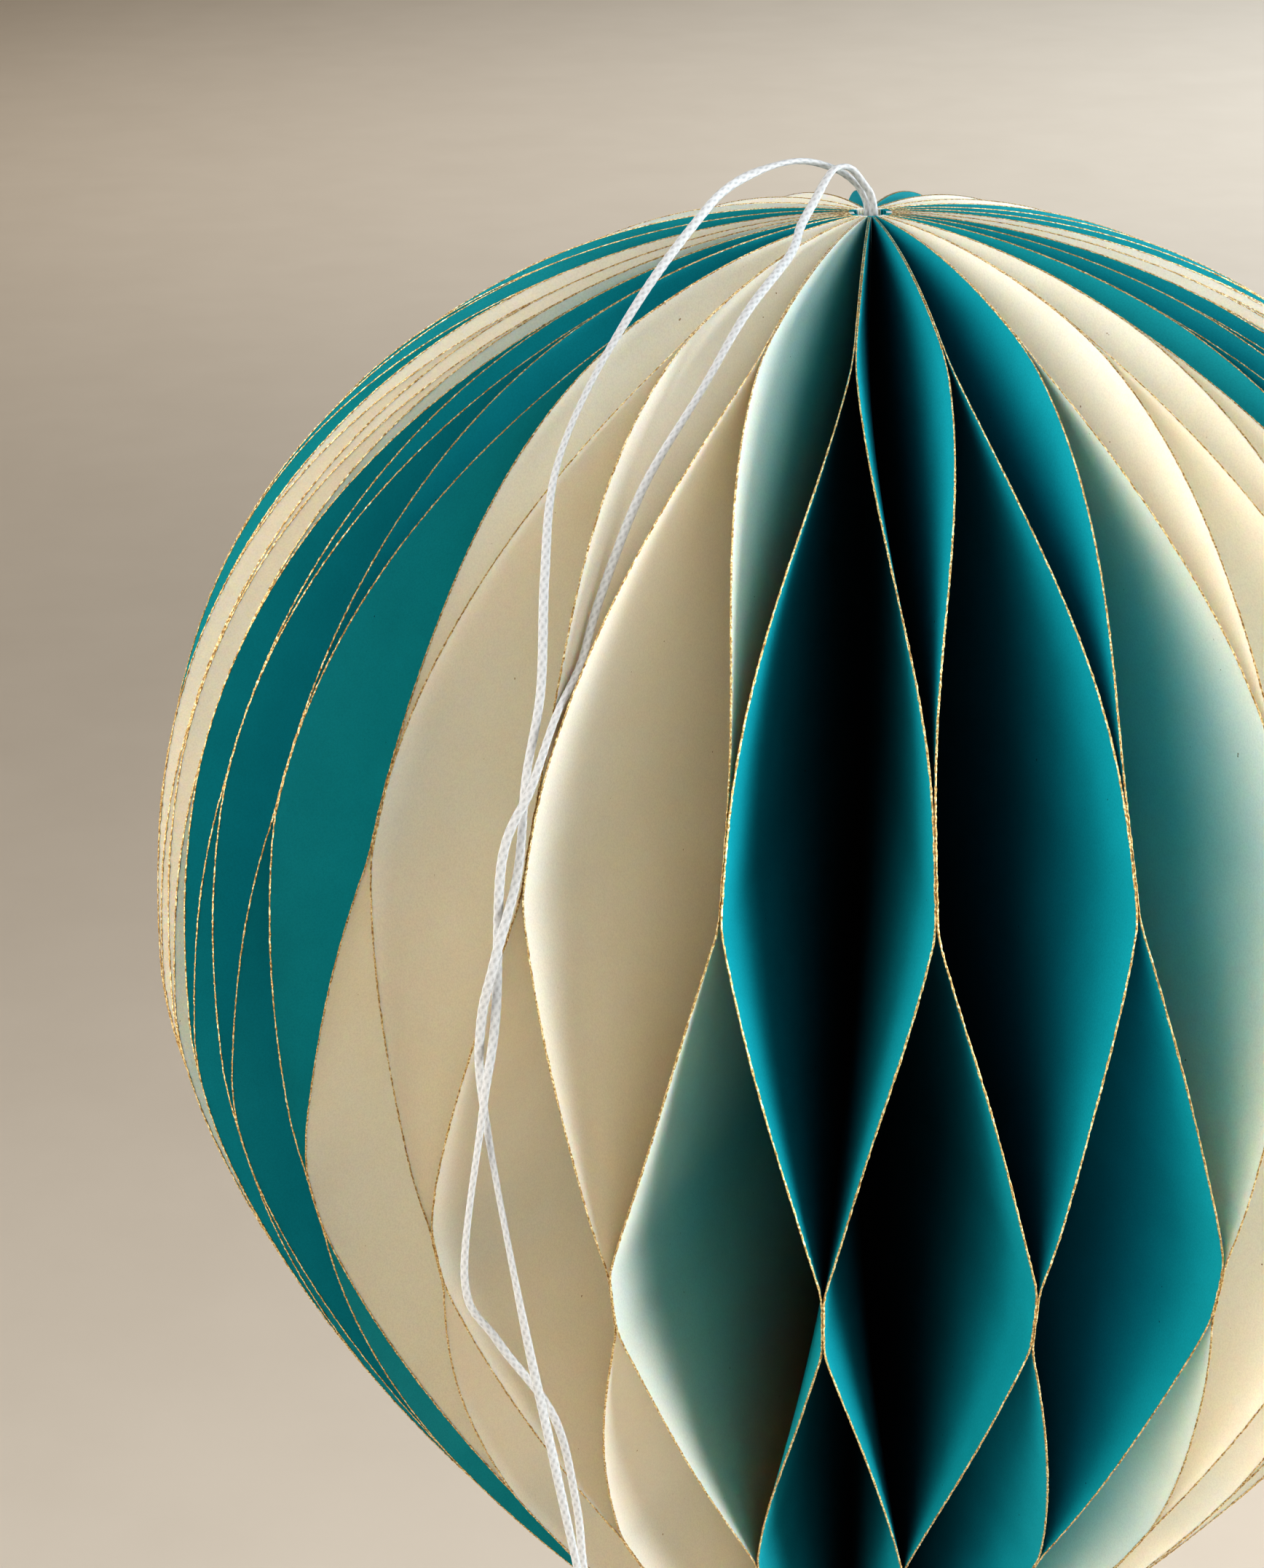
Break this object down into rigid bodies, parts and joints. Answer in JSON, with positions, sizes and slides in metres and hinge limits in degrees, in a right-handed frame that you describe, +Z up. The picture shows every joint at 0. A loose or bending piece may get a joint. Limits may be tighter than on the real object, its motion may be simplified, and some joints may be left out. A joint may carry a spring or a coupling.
{
  "type": "honeycomb paper ornament",
  "caption": "Hanging honeycomb ornament of teal and cream paper leaves glued in alternate strips around a spine, rounded above and tapering to a point, with a cord loop.",
  "frame": {"origin": "point on the axis at the crown, where the cord comes out of the spine", "axes": "+Z up along the axis, -Y towards the front of the picture, +X to its right"},
  "size_m": [0.1648, 0.1647, 0.2053],
  "materials": {
    "teal_paper": "matte dyed paper, gold on the cut edge",
    "cream_paper": "matte dyed paper, gold on the cut edge",
    "cord": "white waxed cotton cord"
  },
  "bodies": {
    "root": {"teal_run_1": "teal_paper", "cream_run_1": "cream_paper", "teal_run_2": "teal_paper", "cream_run_2": "cream_paper", "teal_run_3": "teal_paper", "cream_run_3": "cream_paper", "teal_run_4": "teal_paper", "cream_run_4": "cream_paper", "teal_run_5": "teal_paper", "cream_run_5": "cream_paper", "teal_run_6": "teal_paper", "cream_run_6": "cream_paper", "hanging_cord": "cord"}
  },
  "joints": []
}
